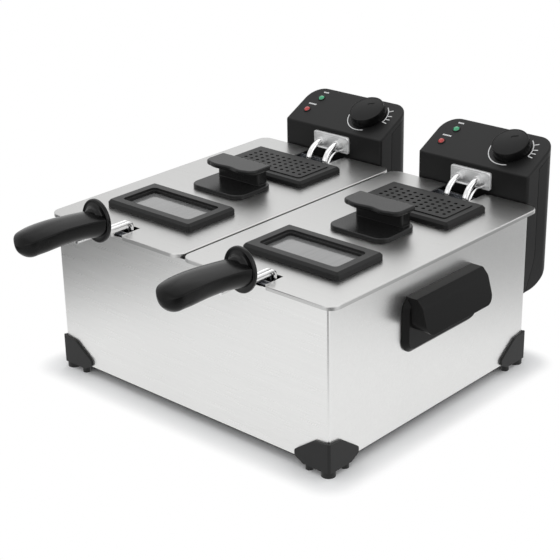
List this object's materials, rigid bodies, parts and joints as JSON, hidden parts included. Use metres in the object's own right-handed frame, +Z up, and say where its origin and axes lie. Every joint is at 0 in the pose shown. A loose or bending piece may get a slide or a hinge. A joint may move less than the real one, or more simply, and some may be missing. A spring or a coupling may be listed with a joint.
{
  "type": "deep fryer",
  "caption": "Deep fryer in a brushed-steel box, with windowed lift-off lids, lift-out baskets on black handles, and rear control heads with turning knobs and lamps.",
  "frame": {"origin": "on the table under the middle of the whole fryer", "axes": "+X to the right as seen from the basket handles, +Y from the basket handles to the control heads, +Z up"},
  "size_m": [0.472, 0.572, 0.2649],
  "materials": {
    "housing_steel": "brushed, lines across",
    "lid_steel": "brushed, satin",
    "deck_black": "satin black",
    "base_grey": "plain",
    "tank_enamel": "black enamel",
    "basket_wire": "bright mesh",
    "wire_chrome": "bright",
    "grip_black": "gloss",
    "trim_black": "fine texture",
    "pane_glass": "clear over a dark well",
    "pull_black": "semi-gloss",
    "mat_fibre": "felted",
    "head_black": "fine texture",
    "knob_black": "satin",
    "thermostat_white": "plain",
    "lamp_green": "clear lens",
    "lamp_red": "clear lens",
    "plate_steel": "pressed",
    "element_steel": "polished",
    "screw_steel": "plated",
    "gland_rubber": "matte",
    "button_black": "satin",
    "handle_black": "satin",
    "bracket_black": "plain",
    "foot_black": "plain"
  },
  "bodies": {
    "stand": {"housing": "housing_steel", "deck": "deck_black", "base_plate": "base_grey", "base_screws": "screw_steel", "side_handle_left": "handle_black", "side_handle_right": "handle_black", "side_handle_screws": "screw_steel", "head_brackets": "bracket_black", "foot_front_left": "foot_black", "foot_front_right": "foot_black", "foot_rear_left": "foot_black", "foot_rear_right": "foot_black"},
    "left_oil_tank": {"left_tank": "tank_enamel"},
    "left_control_head": {"left_head_shell": "head_black", "left_head_back_cover": "head_black", "left_thermostat": "thermostat_white", "left_lamp_green": "lamp_green", "left_lamp_red": "lamp_red", "left_element_plate": "plate_steel", "left_element_screws": "screw_steel", "left_heating_element": "element_steel", "left_sensor_tube": "element_steel", "left_cord_gland": "gland_rubber"},
    "left_dial": {"left_knob": "knob_black"},
    "left_restart": {"left_reset_button": "button_black"},
    "left_frying_basket": {"left_basket": "basket_wire"},
    "left_basket_handle": {"left_handle_grip": "grip_black", "left_handle_wires": "wire_chrome"},
    "left_lid_group": {"left_lid": "lid_steel", "left_window_frame": "trim_black", "left_window_pane": "pane_glass", "left_lid_pull": "pull_black", "left_lid_pull_screws": "screw_steel", "left_filter_cover": "trim_black", "left_filter_mat": "mat_fibre"},
    "right_oil_tank": {"right_tank": "tank_enamel"},
    "right_control_head": {"right_head_shell": "head_black", "right_head_back_cover": "head_black", "right_thermostat": "thermostat_white", "right_lamp_green": "lamp_green", "right_lamp_red": "lamp_red", "right_element_plate": "plate_steel", "right_element_screws": "screw_steel", "right_heating_element": "element_steel", "right_sensor_tube": "element_steel", "right_cord_gland": "gland_rubber"},
    "right_dial": {"right_knob": "knob_black"},
    "right_restart": {"right_reset_button": "button_black"},
    "right_frying_basket": {"right_basket": "basket_wire"},
    "right_basket_handle": {"right_handle_grip": "grip_black", "right_handle_wires": "wire_chrome"},
    "right_lid_group": {"right_lid": "lid_steel", "right_window_frame": "trim_black", "right_window_pane": "pane_glass", "right_lid_pull": "pull_black", "right_lid_pull_screws": "screw_steel", "right_filter_cover": "trim_black", "right_filter_mat": "mat_fibre"}
  },
  "joints": [
    {"name": "left_tank_lift", "type": "slide", "parent": "stand", "child": "left_oil_tank", "axis": [0, 0, 1], "range_m": [0, 0.16]},
    {"name": "left_head_lift", "type": "slide", "parent": "left_oil_tank", "child": "left_control_head", "axis": [0, 0, 1], "range_m": [0, 0.15]},
    {"name": "left_basket_lift", "type": "slide", "parent": "left_control_head", "child": "left_frying_basket", "axis": [0, 0, 1], "range_m": [0, 0.15]},
    {"name": "left_lid_lift", "type": "slide", "parent": "left_frying_basket", "child": "left_lid_group", "axis": [0, 0, 1], "range_m": [0, 0.12]},
    {"name": "left_handle_lift", "type": "slide", "parent": "left_frying_basket", "child": "left_basket_handle", "axis": [0, 0, 1], "range_m": [0, 0.06]},
    {"name": "left_knob_turn", "type": "hinge", "parent": "left_control_head", "child": "left_dial", "pos_m": [-0.0646, 0.25108, 0.24384], "axis": [0, -0.454, 0.891], "range_deg": [-270, 0]},
    {"name": "left_reset_press", "type": "slide", "parent": "left_control_head", "child": "left_restart", "axis": [0, -1, 0], "range_m": [0, 0.002], "stiffness_N_per_m": 400},
    {"name": "right_tank_lift", "type": "slide", "parent": "stand", "child": "right_oil_tank", "axis": [0, 0, 1], "range_m": [0, 0.16]},
    {"name": "right_head_lift", "type": "slide", "parent": "right_oil_tank", "child": "right_control_head", "axis": [0, 0, 1], "range_m": [0, 0.15]},
    {"name": "right_basket_lift", "type": "slide", "parent": "right_control_head", "child": "right_frying_basket", "axis": [0, 0, 1], "range_m": [0, 0.15]},
    {"name": "right_lid_lift", "type": "slide", "parent": "right_frying_basket", "child": "right_lid_group", "axis": [0, 0, 1], "range_m": [0, 0.12]},
    {"name": "right_handle_lift", "type": "slide", "parent": "right_frying_basket", "child": "right_basket_handle", "axis": [0, 0, 1], "range_m": [0, 0.06]},
    {"name": "right_knob_turn", "type": "hinge", "parent": "right_control_head", "child": "right_dial", "pos_m": [0.1506, 0.25108, 0.24384], "axis": [0, -0.454, 0.891], "range_deg": [-270, 0]},
    {"name": "right_reset_press", "type": "slide", "parent": "right_control_head", "child": "right_restart", "axis": [0, -1, 0], "range_m": [0, 0.002], "stiffness_N_per_m": 400}
  ]
}
